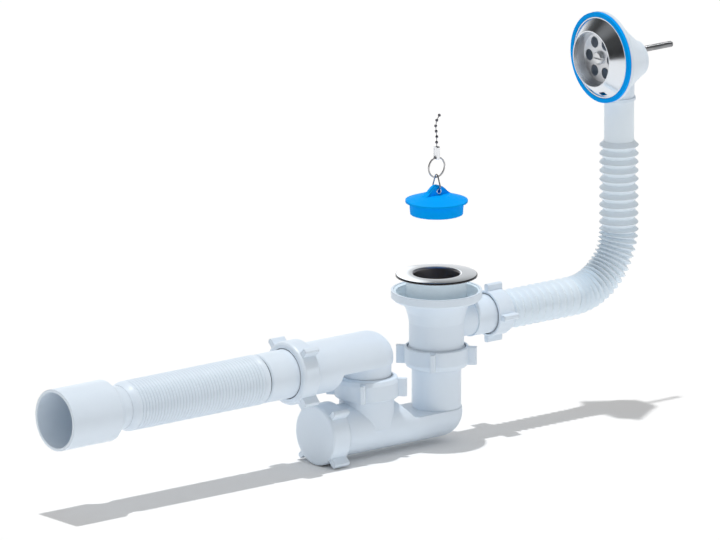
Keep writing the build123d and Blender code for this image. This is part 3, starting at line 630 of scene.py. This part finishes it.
def add_flex():
    """Finely ribbed tube with a plain band, a shoulder with a lip and the necks in its neighbours."""
    ribs_end = FLEX_NEAR + FLEX_RIBS * FLEX_PITCH
    end = ribs_end + FLEX_FAR
    neck_bore = FLEX_NECK_R - FLEX_WALL
    bore = FLEX_ROOT_R - FLEX_WALL
    profile = [(-FLEX_NECK, neck_bore), (-FLEX_NECK, FLEX_NECK_R), (0.0, FLEX_NECK_R)]
    profile += [(FLEX_ROUND + x, r) for r, x in
                arc((FLEX_R - FLEX_ROUND, 0.0), FLEX_ROUND, start=-90, end=0, steps=FLEX_ROUND_STEPS)]
    profile.append((FLEX_NEAR - FLEX_PITCH / 2, FLEX_R))
    for step in range(FLEX_RIBS * FLEX_RIB_STEPS + 1):
        share = step / FLEX_RIB_STEPS
        height = rib(share, FLEX_RIB_SHARPNESS) ** FLEX_RIB_FULLNESS
        profile.append((FLEX_NEAR + share * FLEX_PITCH, FLEX_ROOT_R + (FLEX_R - FLEX_ROOT_R) * height))
    band_end = ribs_end + FLEX_PITCH / 2
    lip_end = end + FLEX_LIP
    profile.append((band_end, FLEX_R))
    for step in range(1, FLEX_SHOULDER_STEPS + 1):
        share = step / FLEX_SHOULDER_STEPS
        radius = FLEX_WAIST_R + (FLEX_R - FLEX_WAIST_R) * math.cos(math.pi / 2 * share)
        profile.append((band_end + (lip_end - band_end) * share, radius))
    profile += [(lip_end, FLEX_LIP_R), (end, FLEX_LIP_R), (end, FLEX_NECK_R)]
    profile += [(end + FLEX_NECK, FLEX_NECK_R), (end + FLEX_NECK, neck_bore)]
    profile += [(end - FLEX_WALL, neck_bore), (end - 2 * FLEX_WALL, bore)]
    profile += [(2 * FLEX_WALL, bore), (FLEX_WALL, neck_bore)]
    rings = []
    for distance, radius in profile:
        centre = Vector((TAIL_START_X - distance, 0.0, TAIL_Z))
        rings.append(circle(centre, UP, NORTH, radius, FLEX_SIDES))
    points, faces = swept(rings, True)
    add_piece("flex_ribbed_tube", points, faces, "white_plastic", "flex_tube", material=RIBBED_PLASTIC)


def add_chain():
    """Round beads on the thin bars that join them."""
    skins = []
    place = UP * (CHAIN_Z - BEAD_R)
    for lean in BEAD_LEANS:
        along = Vector((math.sin(math.radians(lean)), 0.0, math.cos(math.radians(lean))))
        across = Vector((along.z, 0.0, -along.x))
        place = place + along * BEAD_PITCH
        bead = []
        for step in range(BEAD_STEPS + 1):
            rise = math.pi * step / BEAD_STEPS - math.pi / 2
            radius = max(BEAD_R * math.cos(rise), BEAD_TIP_R)
            bead.append(circle(place + along * BEAD_R * math.sin(rise), across, NORTH, radius, BEAD_SIDES))
        bar = [circle(place - along * reach, across, NORTH, BAR_R, BAR_SIDES)
               for reach in (BEAD_R * BAR_SINK, BEAD_PITCH - BEAD_R)]
        skins += [swept(bead, False), swept(bar, False)]
    points, faces = joined(skins)
    add_piece("chain_beads", points, faces, "steel", "ball_chain", material=BEAD_STEEL)


def add_ring():
    """Split ring: a flat wire wound twice round, side by side."""
    half = RING_HALF / 2 * RING_FILL
    start, end = RING_CROSSING
    rings = []
    for step in range(RING_TURNS * RING_STEPS + 1):
        share = step / RING_STEPS
        outward = Vector((math.cos(2 * math.pi * share), 0.0, math.sin(2 * math.pi * share)))
        slide = min(max((share - start) / (end - start), 0.0), 1.0)
        middle = UP * RING_Z + outward * RING_MIDDLE_R + NORTH * RING_HALF * (slide - 0.5)
        rings.append([middle + outward * RING_HALF * out + NORTH * half * aside
                      for out, aside in RING_SECTION])
    add_piece("split_ring", *swept(rings, False), "steel", "pull_ring")


def add_link():
    """Round wire bent to a triangle with rounded corners."""
    half = LINK_WIDTH / 2
    corners = [Vector((0.0, -half, LINK_LOW_Z)), Vector((0.0, half, LINK_LOW_Z)),
               Vector((0.0, 0.0, LINK_LOW_Z + LINK_HEIGHT))]
    path = []
    for index, corner in enumerate(corners):
        before = (corners[index - 1] - corner).normalized()
        after = (corners[(index + 1) % len(corners)] - corner).normalized()
        opening = before.angle(after) / 2
        reach = LINK_ROUND / math.tan(opening)
        centre = corner + (before + after).normalized() * (LINK_ROUND / math.sin(opening))
        first = corner + before * reach - centre
        last = corner + after * reach - centre
        for step in range(LINK_STEPS + 1):
            path.append(centre + first.slerp(last, step / LINK_STEPS).normalized() * LINK_ROUND)
    rings = []
    for index, point in enumerate(path):
        along = (path[(index + 1) % len(path)] - path[index - 1]).normalized()
        rings.append(circle(point, EAST, along.cross(EAST), WIRE_R, WIRE_SIDES))
    add_piece("wire_link", *swept(rings, True), "steel", "plug_link")


def add_thread():
    """Turns of the thread on the screw that stands out behind the overflow."""
    start, end = THREAD_X
    core_r, crest_r = THREAD_R
    steps = round((end - start) / THREAD_PITCH * THREAD_STEPS)
    rings = []
    for step in range(steps + 1):
        x = start + (end - start) * step / steps
        ring = []
        for side, turn in enumerate(turns(THREAD_SIDES)):
            height = rib(step / THREAD_STEPS - side / THREAD_SIDES, THREAD_SHARPNESS)
            radius = core_r + (crest_r - core_r) * height
            ring.append(Vector((x, radius * math.cos(turn), HEAD_Z + radius * math.sin(turn))))
        rings.append(ring)
    add_piece("screw_thread", *swept(rings, False), "steel", sharp=60.0, material=THREAD_STEEL)


def add_fin_flanks():
    """Hollow flanks that lead the plug's fin down into its dome."""
    for name, side in (("fin_flank_near", -1.0), ("fin_flank_far", 1.0)):
        rings = [[Vector((side * x, y, z)) for x, z in FIN_FLANK] for y in (-FIN_HALF, FIN_HALF)]
        add_piece(name, *swept(rings, False), "blue_rubber")


def add_eyelets():
    """Bright rings round the plug's eye on both faces of its fin."""
    for name, side in (("eyelet_near", -1.0), ("eyelet_far", 1.0)):
        eye = Vector((0.0, side * (FIN_HALF + EYELET_HALF / 2), EYE_Z))
        rings = []
        for turn in turns(EYELET_STEPS):
            outward = Vector((math.cos(turn), 0.0, math.sin(turn)))
            rings.append(circle(eye + EYELET_R * outward, outward, NORTH, EYELET_HALF, EYELET_SIDES))
        add_piece(name, *swept(rings, True), "steel", material=BRIGHT_STEEL)


def add_camera():
    """Camera at the photograph's viewing angle, as far off as its lens needs for the view's width."""
    right = Vector((math.cos(AZIMUTH), math.sin(AZIMUTH), 0.0))
    back = Vector((math.sin(AZIMUTH) * math.cos(ELEVATION), -math.cos(AZIMUTH) * math.cos(ELEVATION),
                   math.sin(ELEVATION)))
    data = bpy.data.cameras.new("camera")
    data.lens = LENS_MM
    data.sensor_width = SENSOR_MM
    data.clip_end = CLIP_END
    camera = bpy.data.objects.new("camera", data)
    place = AIM + back * (LENS_MM * VIEW_WIDTH / SENSOR_MM)
    turn = Matrix((right, back.cross(right), back)).transposed().to_4x4()
    camera.matrix_world = Matrix.Translation(place) @ turn
    scene.collection.objects.link(camera)
    scene.camera = camera


def add_lights():
    """Sun nearly overhead and an even sky, with a white backdrop where it is seen or reflected."""
    data = bpy.data.lights.new("overhead", "SUN")
    data.energy = SUN_STRENGTH
    data.angle = SUN_SOFTNESS
    lamp = bpy.data.objects.new("overhead", data)
    lamp.rotation_euler = SUN_LEAN
    scene.collection.objects.link(lamp)

    world = bpy.data.worlds.new("studio")
    world.use_nodes = True
    scene.world = world
    nodes = world.node_tree.nodes
    tree = Nodes(world.node_tree)
    rays = tree.node("ShaderNodeLightPath").outputs
    seen = tree.number("MAXIMUM", rays["Is Camera Ray"], rays["Is Glossy Ray"])
    seen = tree.number("MAXIMUM", seen, rays["Is Transmission Ray"])
    sky = nodes["Background"]
    sky.inputs["Color"].default_value = SKY_TINT
    sky.inputs["Strength"].default_value = SKY_STRENGTH
    backdrop = tree.node("ShaderNodeBackground")
    backdrop.inputs["Color"].default_value = WHITE
    mix = tree.node("ShaderNodeMixShader")
    tree.link(seen, mix.inputs["Fac"])
    tree.link(sky.outputs["Background"], mix.inputs[1])
    tree.link(backdrop.outputs["Background"], mix.inputs[2])
    tree.link(mix.outputs["Shader"], nodes["World Output"].inputs["Surface"])


def ceiling_material():
    """Glow by direction: levels by height on a pale and a dark side, and one bright panel."""
    material = bpy.data.materials.new("ceiling")
    material.use_nodes = True
    material.node_tree.nodes.clear()
    tree = Nodes(material.node_tree)
    towards = tree.vector("NORMALIZE", tree.node("ShaderNodeNewGeometry").outputs["Position"])
    parts = tree.node("ShaderNodeSeparateXYZ")
    tree.link(towards, parts.inputs["Vector"])
    levels = tree.node("ShaderNodeMix")
    for socket, stops in (("A", CEILING_PALE_STOPS), ("B", CEILING_DARK_STOPS)):
        greys = [(place, (level, level, level, 1.0)) for place, level in stops]
        tree.link(tree.ramp(parts.outputs["Z"], greys), levels.inputs[socket])
    share = tree.spread(tree.measure("DOT_PRODUCT", towards, DARK_TOWARDS), *DARK_EDGE)
    tree.link(share, levels.inputs["Factor"])
    nearness = tree.measure("DOT_PRODUCT", towards, PANEL_TOWARDS)
    panel = tree.spread(nearness, *PANEL_EDGE, high=PANEL_STRENGTH, smooth=True)
    aside = tree.measure("DOT_PRODUCT", towards, PANEL_ASIDE)
    shown = tree.number("MULTIPLY", panel, tree.spread(aside, *PANEL_SIDE, smooth=True))
    light = tree.node("ShaderNodeEmission")
    tree.link(tree.number("MAXIMUM", levels.outputs["Result"], shown), light.inputs["Strength"])
    out = tree.node("ShaderNodeOutputMaterial")
    tree.link(light.outputs["Emission"], out.inputs["Surface"])
    return material


def add_ceiling():
    """Dome over the stage that shades what the chrome reflects and gives no other light."""
    rings = []
    for ring in range(CEILING_RINGS + 1):
        rise = CEILING_LOW + (math.pi / 2 - CEILING_LOW) * ring / (CEILING_RINGS + CEILING_CROWN)
        centre = UP * CEILING_R * math.sin(rise)
        rings.append(circle(centre, EAST, NORTH, CEILING_R * math.cos(rise), CEILING_SIDES))
    points, faces = swept(rings, False)
    open_foot = tuple(reversed(range(CEILING_SIDES)))
    faces.remove(open_foot)
    mesh = bpy.data.meshes.new("ceiling")
    mesh.from_pydata(points, [], faces)
    mesh.materials.append(ceiling_material())
    ceiling = bpy.data.objects.new("ceiling", mesh)
    scene.collection.objects.link(ceiling)
    ceiling.visible_camera = False
    ceiling.visible_diffuse = False
    ceiling.visible_transmission = False
    ceiling.visible_shadow = False


def add_floor():
    """Pale floor under the lowest point of the model."""
    half = FLOOR_SIZE / 2
    low = cad_box[0][2]
    mesh = bpy.data.meshes.new("floor")
    corners = [(-half, -half, low), (half, -half, low), (half, half, low), (-half, half, low)]
    mesh.from_pydata(corners, [], [(0, 1, 2, 3)])
    mat = bpy.data.materials.new("floor")
    mat.use_nodes = True
    shader = mat.node_tree.nodes["Principled BSDF"]
    shader.inputs["Base Color"].default_value = FLOOR_ALBEDO
    shader.inputs["Roughness"].default_value = FLOOR_ROUGHNESS
    shader.inputs["Specular IOR Level"].default_value = 0.0
    mesh.materials.append(mat)
    floor = bpy.data.objects.new("floor", mesh)
    scene.collection.objects.link(floor)


add_dish()
add_hose()
add_flex()
add_chain()
add_ring()
add_link()
add_thread()
add_fin_flanks()
add_eyelets()
add_camera()
add_lights()
add_ceiling()
add_floor()
